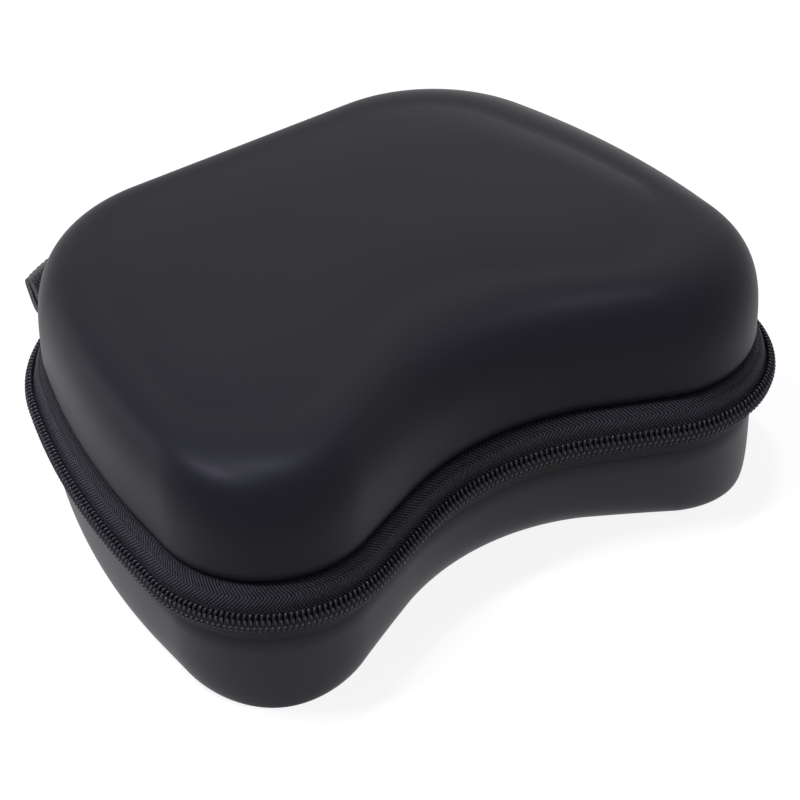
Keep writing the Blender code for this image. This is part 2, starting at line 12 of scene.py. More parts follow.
import bmesh
import bpy
import numpy as np
from mathutils import Matrix, Vector


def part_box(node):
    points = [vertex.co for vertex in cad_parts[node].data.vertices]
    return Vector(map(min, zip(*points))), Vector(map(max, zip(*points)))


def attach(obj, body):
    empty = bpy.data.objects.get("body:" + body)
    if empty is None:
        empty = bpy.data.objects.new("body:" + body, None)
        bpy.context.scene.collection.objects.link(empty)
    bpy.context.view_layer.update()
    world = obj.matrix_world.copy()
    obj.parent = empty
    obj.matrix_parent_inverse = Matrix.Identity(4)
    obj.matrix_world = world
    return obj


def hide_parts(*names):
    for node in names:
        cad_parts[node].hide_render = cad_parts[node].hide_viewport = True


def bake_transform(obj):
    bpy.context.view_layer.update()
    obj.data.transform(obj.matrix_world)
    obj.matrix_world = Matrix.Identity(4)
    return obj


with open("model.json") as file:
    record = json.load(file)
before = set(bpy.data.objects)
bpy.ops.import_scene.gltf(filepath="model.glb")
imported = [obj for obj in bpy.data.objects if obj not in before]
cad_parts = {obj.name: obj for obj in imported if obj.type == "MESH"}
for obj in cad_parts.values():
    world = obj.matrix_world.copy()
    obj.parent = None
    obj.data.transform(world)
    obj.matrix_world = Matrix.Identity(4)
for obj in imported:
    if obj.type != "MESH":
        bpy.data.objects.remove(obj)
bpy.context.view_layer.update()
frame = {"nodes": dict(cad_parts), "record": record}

# From the frame: the heights of the parting plane, the rims and the top
JOINTS = {joint["name"]: joint for joint in frame["record"]["behaviour"]["joints"]}
HINGE = Vector(JOINTS["lid_hinge"]["pos_m"])
ZIP_Z = HINGE.z
LID_RIM_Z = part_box("lid_shell")[0][2]
LID_TOP_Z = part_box("lid_shell")[1][2]
BASE_RIM_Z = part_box("base_shell")[1][2]
LID_RIM = LID_RIM_Z - ZIP_Z
BASE_RIM = ZIP_Z - BASE_RIM_Z

# The shells' moulds
WALL = 0.0040
LID_IN = 0.0056            # lid wall inside the zip line
BASE_IN = 0.0059
LID_SQUARENESS = 3.46      # 2 rounds a wall over as an ellipse, more makes it squarer
BASE_SQUARENESS = 3.51
CROWN = 0.0008             # rise of the lid's top towards its middle
CROWN_SPREAD = 0.70        # share of the way to the lid's middle line that the rise takes
CROWN_LINE = 0.80          # length of that line, as a share of the flat top's
CROWN_BEND = 0.50          # how far the line's ends turn into the lobes
FILLET_SHARE = 0.98        # the most of a side that the fillets at its two ends take together
ARC_STEPS = (40, 40, 16, 40, 48, 40, 16)
LINE_STEPS = 5
WALL_RINGS = 44
CROWN_RINGS = 12
ROLL_IN = 0.0021           # how far the film turns in towards the rim, over the roll's height
ROLL_HEIGHT = 0.0046
ROLL_RINGS = 10
FILM = 0.0004              # thickness of the film outside and of the lining inside

# The zip
COIL_RISE = 0.00282        # half the width of the closed chain
COIL_PITCH = 0.00145
COIL_WIRE = 0.00033        # radius of the filament
COIL_FRONT = 0.0003        # depth of its front legs behind the chain's face
COIL_BACK = 0.00145        # and of its back legs
LID_TILT = 0.34            # lean of each coil's face, in radians
BASE_TILT = 0.12
COIL_FIRST = 0.0370        # where the coil starts and ends along the zip line
COIL_LAST = 0.46472
TAPE = 0.0008
LID_TAPE_IN = 0.0048
BASE_TAPE_IN = 0.0050
HINGE_HALF = 0.0340
GAP = 0.0003
RIB_PITCH = 0.00105        # of the herringbone, as the photo shows it
RIB_COLUMN = 0.0030        # width of one column of the herringbone
RIB_APEX = 0.0052          # where its first point lies, along the tape's section
RIB_HEIGHT = 0.00012
PLY_PITCH = 0.00042        # of the twist in one yarn
MM = 1000.0                # millimetres in a metre, for the UV maps
TAPE_STEP = 0.00021
HINGE_BULGE = 0.0012
HINGE_FABRIC = 0.0010
BINDING = 0.0008
BINDING_RISE = 0.0062
BINDING_LAP = 0.0014
GROSGRAIN_PITCH = 0.0009
GROSGRAIN_HEIGHT = 0.00007
STITCH_PITCH = 0.0030
STITCH_LENGTH = 0.0023
STITCH_RISE = 0.0045       # of the row above the binding's edge
THREAD_RADIUS = 0.00022

# The hand strap: webbing of coarse warp cords, doubled
STRAP_AT = 0.0553
STRAP_WIDTH = 0.0200
STRAP = 0.0013
CORD_PITCH = 0.0017
CORD_HEIGHT = 0.00034
WEFT_HEIGHT = 0.00009
WEFT_PITCH = 0.0008

# Inside
POCKET_MOUTH = 0.0100      # y of the pocket's open edge
HEM_WIDTH = 0.0080
HEM = 0.0016
HEM_RIBS = (0.0013, 0.00016)  # pitch and height
SIDE_CLEAR = 0.0006
BAND_Y = -0.0250
BAND_WIDTH = 0.0200
BAND = 0.0012
BAND_RIBS = (0.0016, 0.00014)
BAND_SHORT = 0.024         # how much shorter the band is than the zip line is wide there
NET_CELL = 0.0024
NET_THREAD = 0.00042
NET_FIELD = (0.19, 0.075)  # width and depth that the cells are laid over, before the walls cut them
NET_BORDER = (0.0030, 0.0008)  # width and thickness of its turned edge
NET_SAG = 0.0006

# Cast metal: how far its edges are rounded
SLIDER_EDGE = 0.00025
PULL_EDGE = 0.00018
STOP_EDGE = 0.00015

# The stage
SHADOW_SHARE = 0.22        # how much of the floor's white gives way to a shadow


def linear(hex_colour):
    """An sRGB hex colour as linear red, green, blue, alpha."""
    channels = [int(hex_colour[i:i + 2], 16) / 255 for i in (1, 3, 5)]
    return (*[c / 12.92 if c <= 0.04045 else ((c + 0.055) / 1.055) ** 2.4 for c in channels], 1.0)


# Outlines in plan

def plan(back, side, lobe, notch):
    """The seven corners of an outline and their radii, turning left from the back right. Each is x, y, radius."""
    half = [complex(x, y) for x, y, _ in (back, side, lobe)]
    left = [-p.conjugate() for p in half]
    corners = [half[0], left[0], left[1], left[2], complex(0.0, notch[0]), half[2], half[1]]
    return list(zip(corners, [back[2], back[2], side[2], lobe[2], notch[1], lobe[2], side[2]]))


def arcs(corners):
    """For each corner the arc that rounds it: centre, start point and swept angle."""
    spots = [corner for corner, _ in corners]
    sides = [after - before for before, after in zip(spots, spots[1:] + spots[:1])]
    halves, runs = [], []
    for i, (_, radius) in enumerate(corners):
        halves.append(abs(np.angle(-sides[i - 1] / sides[i])) / 2)
        runs.append(radius / math.tan(halves[i]))
    made = []
    for i, corner in enumerate(spots):
        room_before = FILLET_SHARE * abs(sides[i - 1]) / (runs[i - 1] + runs[i])
        room_after = FILLET_SHARE * abs(sides[i]) / (runs[i] + runs[(i + 1) % len(spots)])
        run = runs[i] * min(1.0, room_before, room_after)
        before, after = -sides[i - 1] / abs(sides[i - 1]), sides[i] / abs(sides[i])
        start, end = corner + before * run, corner + after * run
        centre = corner + (before + after) / abs(before + after) * run / math.cos(halves[i])
        made.append((centre, start, np.angle((end - centre) / (start - centre))))
    return made


ZIP_PLAN = plan((0.0734, 0.0792, 0.0500), (0.0941, 0.0095, 0.2230), (0.0940, -0.0864, 0.0350), (-0.0455, 0.0667))
TOP_PLAN = plan((0.0538, 0.0596, 0.0309), (0.0706, 0.0095, 0.2000), (0.0795, -0.0598, 0.0231), (-0.0078, 0.0427))
FOOT_PLAN = plan((0.0624, 0.0682, 0.0400), (0.0816, 0.0095, 0.1200), (0.0778, -0.0714, 0.0124), (-0.0098, 0.0460))


def outline(corners, inset=0.0):
    """Points round an outline, moved inwards by inset: every arc, and the straight that follows it."""
    points = []
    rounds = arcs(corners)
    for i, ((centre, start, sweep), steps) in enumerate(zip(rounds, ARC_STEPS)):
        spokes = (start - centre) * np.exp(1j * sweep * np.arange(steps + 1) / steps)
        arc = centre + spokes - spokes / np.abs(spokes) * math.copysign(inset, sweep)
        points.extend(arc)
        after_centre, after_start, after_sweep = rounds[(i + 1) % len(rounds)]
        spoke = after_start - after_centre
        goal = after_start - spoke / abs(spoke) * math.copysign(inset, after_sweep)
        points.extend(arc[-1] + (goal - arc[-1]) * np.arange(1, LINE_STEPS) / LINE_STEPS)
    return np.array(points)


def zip_pieces():
    """The zip line as straight and round pieces in order from the middle of the back."""
    rounds = arcs(ZIP_PLAN)
    rounds = rounds[1:] + rounds[:1]
    middle = complex(0.0, ZIP_PLAN[0][0].imag)
    at, pieces = middle, []
    for centre, start, sweep in rounds:
        pieces.append((at, start, 0.0, abs(start - at)))
        pieces.append((centre, start, sweep, abs(start - centre) * abs(sweep)))
        at = centre + (start - centre) * np.exp(1j * sweep)
    pieces.append((at, middle, 0.0, abs(at - middle)))
    return pieces


PIECES = zip_pieces()
ZIP_LENGTH = sum(piece[3] for piece in PIECES)


def on_zip(distances):
    """Points on the zip line at the distances, and the outward directions there."""
    s = np.mod(np.asarray(distances, float), ZIP_LENGTH)
    points, outward = np.zeros(s.shape, complex), np.zeros(s.shape, complex)
    begun = 0.0
    for a, b, sweep, length in PIECES:
        here = (s >= begun) & (s <= begun + length)
        run = s[here] - begun
        if sweep == 0.0:
            along = (b - a) / length
            points[here] = a + along * run
            outward[here] = -1j * along
        else:
            spokes = (b - a) * np.exp(1j * sweep * run / length)
            points[here] = a + spokes
            outward[here] = spokes / np.abs(spokes) * math.copysign(1.0, sweep)
        begun += length
    return points, outward


# Meshes

def grid_faces(rows, columns, first=0, flip=False):
    """Quads between rows of points that close on themselves."""
    a = first + np.arange(rows - 1)[:, None] * columns + np.arange(columns)[None, :]
    b = first + np.arange(rows - 1)[:, None] * columns + np.roll(np.arange(columns), -1)[None, :]
    quads = np.stack([a, b, b + columns, a + columns], axis=-1).reshape(-1, 4)
    return (quads[:, ::-1] if flip else quads).tolist()


def new_object(name, data):
    obj = bpy.data.objects.new(name, data)
    bpy.context.scene.collection.objects.link(obj)
    return obj


def piece(name, verts, faces, look, sharp=50.0):
    """A mesh object at the origin, with its faces turned outwards."""
    mesh = bpy.data.meshes.new(name)
    mesh.from_pydata(np.asarray(verts).reshape(-1, 3).tolist(), [], faces)
    mesh.materials.append(look)
    turned = bmesh.new()
    turned.from_mesh(mesh)
    bmesh.ops.recalc_face_normals(turned, faces=turned.faces)
    turned.to_mesh(mesh)
    turned.free()
    mesh.shade_smooth()
    mesh.set_sharp_from_angle(angle=math.radians(sharp))
    return new_object(name, mesh)


def settle(obj, body, nodes=()):
    """Puts a finished piece on its body and the solids that it stands for."""
    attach(obj, body)
    if nodes:
        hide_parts(*nodes)
    return obj


# Materials

MATH = "ShaderNodeMath"


def fill(node, inputs):
    """Gives a node's sockets, by name or number, a value or a link from another node or one of its outputs."""
    for key, value in inputs.items():
        if isinstance(value, bpy.types.Node):
            value = next(output for output in value.outputs if output.enabled)
        if isinstance(value, bpy.types.NodeSocket):
            node.id_data.links.new(value, node.inputs[key])
        else:
            node.inputs[key].default_value = value
    return node


def add(tree, kind, inputs=(), **settings):
    """Adds a node with its settings. inputs are as fill takes them, or a list for its first sockets in order."""
    node = tree.nodes.new(kind)
    for key, value in settings.items():
        setattr(node, key, value)
    return fill(node, inputs if isinstance(inputs, dict) else dict(enumerate(inputs)))


def new_material(name):
    made = bpy.data.materials.new(name)
    made.use_nodes = True
    return made, made.node_tree, made.node_tree.nodes["Principled BSDF"]


def soft_touch_film(name, colour, cloud_colour, gleam):
    """Polyurethane film with a soft-touch coat, heat-moulded on foam board. It is nearly black with a wide dull
    gleam, lighter where it is seen edge on, and it picks up a few specks of lint."""
    made, tree, shader = new_material(name)
    where = add(tree, "ShaderNodeTexCoord").outputs["Object"]
    cloud = add(tree, "ShaderNodeTexNoise", {"Vector": where, "Scale": 18.0, "Detail": 2.0})
    tint = add(tree, "ShaderNodeMix", {"Factor": cloud, "A": linear(colour), "B": linear(cloud_colour)},
               data_type="RGBA")
    lint = add(tree, "ShaderNodeTexVoronoi", {"Vector": where, "Scale": 55.0, "Randomness": 1.0})
    near = add(tree, MATH, [lint, 0.018], operation="LESS_THAN")
    chance = add(tree, "ShaderNodeSeparateColor", [lint.outputs["Color"]])
    chosen = add(tree, MATH, [chance, 0.05], operation="LESS_THAN")
    speck = add(tree, MATH, [near, chosen], operation="MULTIPLY")
    mixed = add(tree, "ShaderNodeMix", {"Factor": speck, "A": tint, "B": linear("#4c4c50")}, data_type="RGBA")
    wear = add(tree, "ShaderNodeMapRange", {"Value": cloud, "To Min": 0.40, "To Max": 0.48})
    grain = add(tree, "ShaderNodeTexNoise", {"Vector": where, "Scale": 2600.0, "Detail": 3.0})
    bump = add(tree, "ShaderNodeBump", {"Height": grain, "Strength": 0.12, "Distance": 0.00005})
    fill(shader, {"Base Color": mixed, "Roughness": wear, "Normal": bump, "IOR": 1.45, "Specular IOR Level": gleam,
                  "Specular Tint": linear("#eeeeff"), "Sheen Weight": 0.02, "Sheen Roughness": 0.4,
                  "Sheen Tint": linear("#c8c8d4")})
    return made


def herringbone_tape(name, groove_painted_shade, thread, gleam=0.14):
    """Woven polyester zip tape: ribs of twisted yarn in a herringbone, their crests painted grey as a painted
    highlight and the grooves between them black as painted shade. Its pattern follows the piece's UV map, in
    millimetres along and across the tape."""
    made, tree, shader = new_material(name)
    uv = add(tree, "ShaderNodeSeparateXYZ", [add(tree, "ShaderNodeTexCoord").outputs["UV"]]).outputs
    across = add(tree, MATH, [uv[1], RIB_APEX * MM], operation="SUBTRACT")
    lean = add(tree, MATH, [across, RIB_COLUMN * MM], operation="PINGPONG")
    waves = []
    for way, pitch in (("ADD", RIB_PITCH), ("SUBTRACT", PLY_PITCH)):
        wave = add(tree, MATH, [uv[0], lean], operation=way)
        wave = add(tree, MATH, [wave, math.pi / (pitch * MM)], operation="MULTIPLY")
        wave = add(tree, MATH, [wave], operation="SINE")
        waves.append(add(tree, MATH, [wave], operation="ABSOLUTE"))
    rib, ply = waves
    yarn = add(tree, "ShaderNodeTexNoise", {"Vector": add(tree, "ShaderNodeTexCoord").outputs["Object"],
                                            "Scale": 1400.0, "Detail": 3.0})
    crest = add(tree, MATH, [rib, 3.0], operation="POWER")
    plied = add(tree, MATH, [ply, 0.35], operation="ADD")
    plied = add(tree, MATH, [plied, yarn], operation="MULTIPLY")
    lit = add(tree, MATH, [crest, plied], operation="MULTIPLY")
    # Painted highlight: the thread colour on the rib crests. Painted shade: the groove colour between them.
    tint = add(tree, "ShaderNodeMix", {"Factor": lit, "A": linear(groove_painted_shade), "B": linear(thread)}, data_type="RGBA")
    height = add(tree, MATH, [ply, rib], operation="MULTIPLY")
    height = add(tree, MATH, [height, 0.35, rib], operation="MULTIPLY_ADD")
    height = add(tree, MATH, [yarn, 0.4, height], operation="MULTIPLY_ADD")
    bump = add(tree, "ShaderNodeBump", {"Height": height, "Strength": 0.8, "Distance": 0.00012})
    fill(shader, {"Base Color": tint, "Roughness": 0.62, "Normal": bump, "IOR": 1.45,
                  "Specular IOR Level": gleam})
    return made


def woven_polyester(name, colour, thread, roughness=0.8, scale=420.0, yarn_scale=900.0):
    """Dyed polyester yarn, woven. Each thread has its own dull gleam, so the cloth looks dry and slightly hairy."""
    made, tree, shader = new_material(name)
    where = add(tree, "ShaderNodeTexCoord").outputs["Object"]
    yarn = add(tree, "ShaderNodeTexNoise", {"Vector": where, "Scale": yarn_scale, "Detail": 3.0})
    tint = add(tree, "ShaderNodeMix", {"Factor": yarn, "A": linear(colour), "B": linear(thread)}, data_type="RGBA")
    weave = add(tree, "ShaderNodeTexWave", {"Vector": where, "Scale": scale, "Distortion": 2.0},
                bands_direction="DIAGONAL")
    both = add(tree, MATH, [weave.outputs["Fac"], yarn], operation="ADD")
    bump = add(tree, "ShaderNodeBump", {"Height": both, "Strength": 0.5, "Distance": 0.0001})
    fill(shader, {"Base Color": tint, "Roughness": roughness, "Normal": bump, "IOR": 1.45, "Sheen Weight": 0.12,
                  "Sheen Roughness": 0.5})
    return made


def nylon(name, colour, roughness):
    """Extruded nylon monofilament, smooth and black. Its bends and heads are painted a lighter grey as a painted
    highlight, and have small hard highlights of their own. The legs between them are dull, where the thread that
    holds the coil on its tape runs over them."""
    made, tree, shader = new_material(name)
    where = add(tree, "ShaderNodeTexCoord").outputs["Object"]
    drag = add(tree, "ShaderNodeTexNoise", {"Vector": where, "Scale": 700.0, "Detail": 2.0})
    wear = add(tree, "ShaderNodeMapRange", {"Value": drag, "To Min": roughness - 0.06, "To Max": roughness + 0.08})
    sewn = add(tree, "ShaderNodeAttribute", attribute_name="sewn over").outputs["Fac"]
    dull = add(tree, "ShaderNodeMix", {"Factor": sewn, "A": wear, "B": 0.85})
    # The bends and heads get the lighter colour, a painted highlight; the legs under the thread get near black.
    tint = add(tree, "ShaderNodeMix", {"Factor": sewn, "A": linear(colour), "B": linear("#020203")},
               data_type="RGBA")
    fill(shader, {"Base Color": tint, "Roughness": dull, "IOR": 1.53, "Specular IOR Level": 0.34,
                  "Specular Tint": linear("#e6e6ff")})
    return made


def painted_zinc(name):
    """Die-cast zinc under thin black paint: smooth, with a soft metallic gleam."""
    made, tree, shader = new_material(name)
    where = add(tree, "ShaderNodeTexCoord").outputs["Object"]
    cast = add(tree, "ShaderNodeTexNoise", {"Vector": where, "Scale": 500.0, "Detail": 3.0})
    wear = add(tree, "ShaderNodeMapRange", {"Value": cast, "To Min": 0.26, "To Max": 0.42})
    bump = add(tree, "ShaderNodeBump", {"Height": cast, "Strength": 0.15, "Distance": 0.0001})
    fill(shader, {"Base Color": linear("#3a3a3e"), "Roughness": wear, "Normal": bump, "Metallic": 0.9})
    return made


FILM_LID = soft_touch_film("soft touch film, lid", "#111116", "#15151a", 0.16)
# The base's film is the lid's film painted lighter: painted light on the base's walls.
FILM_BASE_PAINTED_LIGHT = soft_touch_film("soft touch film, base", "#1e1d21", "#232226", 0.29)
LINING = woven_polyester("brushed tricot lining", "#141415", "#1e1e20", 0.9)
# The thread colour is a painted highlight on the rib crests.
TAPE_CLOTH = herringbone_tape("herringbone polyester tape", "#050506", "#5c5c65")
# The base's tape is the lid's tape cloth painted darker: painted shade where it lies under the chain.
TAPE_CLOTH_BASE_PAINTED_SHADE = herringbone_tape("herringbone polyester tape, base", "#030304", "#2c2c30", 0.12)
# 29292d is lighter than black nylon: a painted highlight on the bends and heads.
COIL_NYLON = nylon("nylon coil", "#29292d", 0.20)
WEBBING = woven_polyester("polypropylene webbing", "#020202", "#6e6e6a", 0.6, yarn_scale=1900.0)
RIBBON = woven_polyester("grosgrain ribbon", "#0c0c0d", "#1c1c1e", 0.7)
ELASTIC = woven_polyester("knitted elastic", "#101011", "#222224", 0.8)
NET = woven_polyester("polyester net", "#151516", "#2a2a2c", 0.6)
THREAD = woven_polyester("sewing thread", "#0a0a0b", "#2c2c2f", 0.5, 1500.0)
ZINC = painted_zinc("black painted zinc")


# Shells

def wall(rim, rim_z, end, end_z, squareness):
    """Rings of points from a shell's rim, round its shoulder, to its flat end."""
    turn = np.linspace(0.0, math.pi / 2, WALL_RINGS + 1)[:, None]
    inwards = 1 - np.clip(np.cos(turn), 0.0, 1.0) ** (2 / squareness)
    onwards = np.sin(turn) ** (2 / squareness)
    flat = rim + (end - rim) * inwards
    height = rim_z + (end_z - rim_z) * onwards + 0.0 * flat.real
    return np.stack([flat.real, flat.imag, height], axis=-1)


def crown(end, end_z):
    """Rings that rise over the lid's top from its edge towards a line along its middle."""
    spine_y = (end.imag.max() + end.imag[np.argmin(np.abs(end.real) + (end.imag > 0))]) / 2
    bend = (end.real / TOP_PLAN[5][0].real) ** 2
    spine = end.real * CROWN_LINE + 1j * (spine_y * (1 - bend) + end.imag * bend * CROWN_BEND)
    step = np.arange(1, CROWN_RINGS + 1)[:, None] / CROWN_RINGS
    flat = end + (spine - end) * CROWN_SPREAD * step
    height = end_z + CROWN * (1 - (1 - step) ** 2) + 0.0 * flat.real
    return np.stack([flat.real, flat.imag, height], axis=-1)


def roll(plan_of_rim, inset, rim_z, onwards):
    """Rings that turn the film in towards its rim. onwards is 1 where the shell lies above, -1 below."""
    rings = []
    for k in range(ROLL_RINGS):
        share = 1 - (k / ROLL_RINGS) ** 1.3
        flat = outline(plan_of_rim, inset + ROLL_IN * (1 - math.sqrt(1 - share ** 2)))
        height = np.full(flat.shape, rim_z + onwards * ROLL_HEIGHT * (1 - share))
        rings.append(np.stack([flat.real, flat.imag, height], axis=-1))
    return np.array(rings)


def normals_of(rings):
    """Directions square to the surface at each point, pointing out of the case."""
    along = np.roll(rings, -1, axis=1) - np.roll(rings, 1, axis=1)
    across = np.gradient(rings, axis=0)
    found = np.cross(along, across)
    found /= np.linalg.norm(found, axis=-1, keepdims=True)
    outwards = rings - rings.mean(axis=(0, 1))
    return found * np.sign((found * outwards).sum())


def thin_shell(name, rings, outer, inner, look):
    """A closed skin between two depths under a surface of rings, whose last ring closes it."""
    normals = normals_of(rings)
    rows, columns = rings.shape[:2]
    count = rows * columns
    verts = np.concatenate([(rings - normals * depth).reshape(-1, 3) for depth in (outer, inner)])
    faces = grid_faces(rows, columns) + grid_faces(rows, columns, first=count, flip=True)
    edge = np.arange(columns)
    after = np.roll(edge, -1)
    faces += np.stack([after, edge, edge + count, after + count], axis=-1).tolist()
    for first in (0, count):
        faces.append((first + count - columns + edge).tolist())
    return piece(name, verts, faces, look)


def shells():
    top, foot = outline(TOP_PLAN), outline(FOOT_PLAN)
    for body, inset, rim_z, onwards, end, end_z, squareness, film in (
            ("lid", LID_IN, LID_RIM_Z, 1, top, LID_TOP_Z - CROWN, LID_SQUARENESS, FILM_LID),
            ("base", BASE_IN, BASE_RIM_Z, -1, foot, 0.0, BASE_SQUARENESS, FILM_BASE_PAINTED_LIGHT)):
        lining_rings = wall(outline(ZIP_PLAN, inset), rim_z, end, end_z, squareness)
        film_wall = wall(outline(ZIP_PLAN, inset), rim_z + onwards * ROLL_HEIGHT, end, end_z, squareness)
        film_rings = np.concatenate([roll(ZIP_PLAN, inset, rim_z, onwards), film_wall])
        if body == "lid":
            lining_rings, film_rings = (np.concatenate([rings, crown(end, end_z)])
                                        for rings in (lining_rings, film_rings))
        outside = thin_shell(body + "_film", film_rings, 0.0, FILM, film)
        inside = thin_shell(body + "_lining", lining_rings, WALL - FILM, WALL, LINING)
        settle(outside, body, [body + "_shell"])
        settle(inside, body)


# Strips along the zip

def smooth_line(points, samples):
    """A smooth curve through the points, evenly sampled."""
    knots = np.array(points, float)
    ends = np.vstack([2 * knots[0] - knots[1], knots, 2 * knots[-1] - knots[-2]])
    spots = []
    for a, b, c, d in zip(ends, ends[1:], ends[2:], ends[3:]):
        for t in np.linspace(0, 1, 12, endpoint=False):
            spots.append(0.5 * (2 * b + (c - a) * t + (2 * a - 5 * b + 4 * c - d) * t * t
                                + (3 * b - a - 3 * c + d) * t ** 3))
    spots = np.array(spots + [knots[-1]])
    run = np.concatenate([[0], np.cumsum(np.linalg.norm(np.diff(spots, axis=0), axis=1))])
    even = np.linspace(0, run[-1], samples)
    return np.stack([np.interp(even, run, spots[:, i]) for i in (0, 1)], axis=-1)


def ribbon(line, thickness):
    """A strip's closed section round its middle line: points, directions outwards from the strip, run along the
    line, and 1 on the left face, -1 on the right face."""
    way = np.gradient(line, axis=0)
    way /= np.linalg.norm(way, axis=1, keepdims=True)
    left = np.stack([-way[:, 1], way[:, 0]], axis=-1)
    run = np.concatenate([[0], np.cumsum(np.linalg.norm(np.diff(line, axis=0), axis=1))])
    half = thickness / 2
    points = np.vstack([line + left * half, line[-1:] + way[-1:] * half, (line - left * half)[::-1],
                        line[:1] - way[:1] * half])
    out = np.vstack([left, way[-1:], -left[::-1], -way[:1]])
    runs = np.concatenate([run, run[-1:], run[::-1], run[:1]])
    face = np.concatenate([np.ones(len(line)), [0], -np.ones(len(line)), [0]])
    return points, out, runs, face


def strip(name, section, distances, look, relief, ring=False):
    """A ribbon's section carried along the zip line. relief gives the height of the weave at (s, run). The UV map
    is in millimetres, along the strip and along its section."""
    points, out, runs, face = section
    spots, outward = on_zip(distances)
    lift = relief(distances[:, None], runs[None, :]) * np.abs(face)[None, :]
    sideways = points[None, :, 0] + out[None, :, 0] * lift
    up = points[None, :, 1] + out[None, :, 1] * lift
    flat = spots[:, None] + outward[:, None] * sideways
    verts = np.stack([flat.real, flat.imag, ZIP_Z + up], axis=-1)
    columns, rows = len(points), len(distances)
    uv = np.stack(np.broadcast_arrays(distances[:, None], runs[None, :]), axis=-1).reshape(-1, 2) * MM
    faces = grid_faces(rows, columns)
    last, first = (rows - 1) * columns + np.arange(columns), np.arange(columns)
    if ring:
        faces += np.stack([last, np.roll(last, -1), np.roll(first, -1), first], axis=-1).tolist()
    else:
        faces += [first.tolist(), last.tolist()]
    made = piece(name, verts, faces, look)
    corners = np.zeros(len(made.data.loops), int)
    made.data.loops.foreach_get("vertex_index", corners)
    made.data.uv_layers.new(name="weave").data.foreach_set("uv", uv[corners].ravel())
    return made


def herringbone(s, run):
    """Ribs that lean one way in one column of the weave and the other way in the next."""
    column = (run - RIB_APEX) / RIB_COLUMN
    lean = (1 - np.abs(np.mod(column, 2.0) - 1.0)) * RIB_COLUMN
    rib = np.abs(np.sin(np.pi * (s + lean) / RIB_PITCH)) ** 0.7
    return RIB_HEIGHT * (rib - 0.5)


def tape_line(side, rim, rim_in, wall_in, tilt, samples):
    """Middle of the tape's section: from behind the coil, in a bulge, to its flange under the shell's rim."""
    near, lean = COIL_BACK + COIL_WIRE + GAP / 2 + TAPE / 2, math.tan(tilt)
    behind = near + COIL_RISE * lean
    seam = rim - GAP - TAPE / 2
    knots = [(-near - 0.0005 * lean, 0.0005), (-near - COIL_RISE / 2 * lean, COIL_RISE / 2), (-behind, COIL_RISE),
             (-behind - 0.0002, COIL_RISE + 0.0014),
             ((-rim_in - behind) / 2 - 0.0004, (seam + COIL_RISE) / 2 + 0.0009), (-rim_in + 0.0001, seam - 0.0014),
             (-rim_in - 0.0009, seam - 0.0002), (-rim_in - 0.0030, seam), (GAP - wall_in - WALL, seam)]
    return smooth_line([(out, side * up) for out, up in knots], samples)


def tapes():
    distances = np.arange(HINGE_HALF + GAP, ZIP_LENGTH - HINGE_HALF - GAP, TAPE_STEP)
    for body, side, rim, rim_in, wall_in, tilt, cloth in (
            ("lid", 1, LID_RIM, LID_TAPE_IN, LID_IN, LID_TILT, TAPE_CLOTH),
            ("base", -1, BASE_RIM, BASE_TAPE_IN, BASE_IN, BASE_TILT, TAPE_CLOTH_BASE_PAINTED_SHADE)):
        line = tape_line(side, rim, rim_in, wall_in, tilt, 17)
        made = strip(body + "_tape", ribbon(line, TAPE - RIB_HEIGHT), distances, cloth, herringbone)
        settle(made, body, [body + "_zip_tape"])


def hinge():
    """Tape cloth across the back, where the real case folds as the lid opens; this piece keeps its closed shape."""
    half = HINGE_FABRIC / 2
    top, bottom = LID_RIM - GAP - half, -BASE_RIM + GAP + half
    out = -HINGE_BULGE - half
    knots = [(GAP - LID_IN - WALL, top), (-LID_TAPE_IN - 0.0012, top), (-LID_TAPE_IN + 0.0004, top - 0.0010),
             (out - 0.0002, COIL_RISE + 0.0008), (out, 0.0), (out - 0.0002, -COIL_RISE - 0.0008),
             (-BASE_TAPE_IN + 0.0004, bottom + 0.0010), (-BASE_TAPE_IN - 0.0012, bottom),
             (GAP - BASE_IN - WALL, bottom)]
    line = smooth_line(knots, 60)
    distances = np.arange(-HINGE_HALF, HINGE_HALF + 0.0001, 0.00025)
    made = strip("hinge_cloth", ribbon(line, HINGE_FABRIC - RIB_HEIGHT), distances, TAPE_CLOTH, herringbone)
    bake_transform(made)
    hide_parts("hinge_strip")


def grosgrain(s, run):
    """Round ribs across a ribbon."""
    return GROSGRAIN_HEIGHT * np.abs(np.sin(np.pi * s / GROSGRAIN_PITCH))


def bindings():
    distances = np.linspace(0.0, ZIP_LENGTH, 3300, endpoint=False)
    for body, side, rim, wall_in in (("lid", 1, LID_RIM, LID_IN), ("base", -1, BASE_RIM, BASE_IN)):
        face = wall_in + WALL + GAP + BINDING / 2
        low, high = rim - BINDING_LAP + BINDING / 2, rim - BINDING_LAP + BINDING_RISE - BINDING / 2
        line = smooth_line([(-face, side * low), (-face, side * (low + high) / 2), (-face, side * high)], 7)
        made = strip(body + "_ribbon", ribbon(line, BINDING - 2 * GROSGRAIN_HEIGHT), distances, RIBBON, grosgrain,
                     ring=True)
        settle(made, body, [body + "_binding"])


